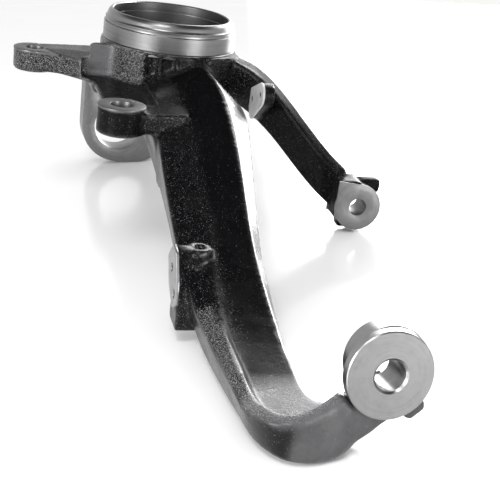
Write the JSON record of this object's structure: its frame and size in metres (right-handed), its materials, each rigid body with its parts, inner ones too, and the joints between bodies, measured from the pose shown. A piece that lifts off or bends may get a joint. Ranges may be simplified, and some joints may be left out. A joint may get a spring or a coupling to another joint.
{
  "type": "steering knuckle",
  "caption": "Cast steering knuckle with a wheel-bearing ring, high curved upper arm, steering arm, lower ball-joint boss and caliper ears.",
  "frame": {"origin": "on the wheel-bearing axis at the outboard face of the ring", "axes": "+Z along the bearing axis, outboard; the high upper arm runs toward -Y; the steering arm is on the +X side"},
  "size_m": [0.249, 0.5359, 0.1488],
  "materials": {
    "casting": "gloss black coating over the cast surface, bare satin metal on the machined seats"
  },
  "bodies": {
    "root": {"steering_knuckle": "casting"}
  },
  "joints": []
}
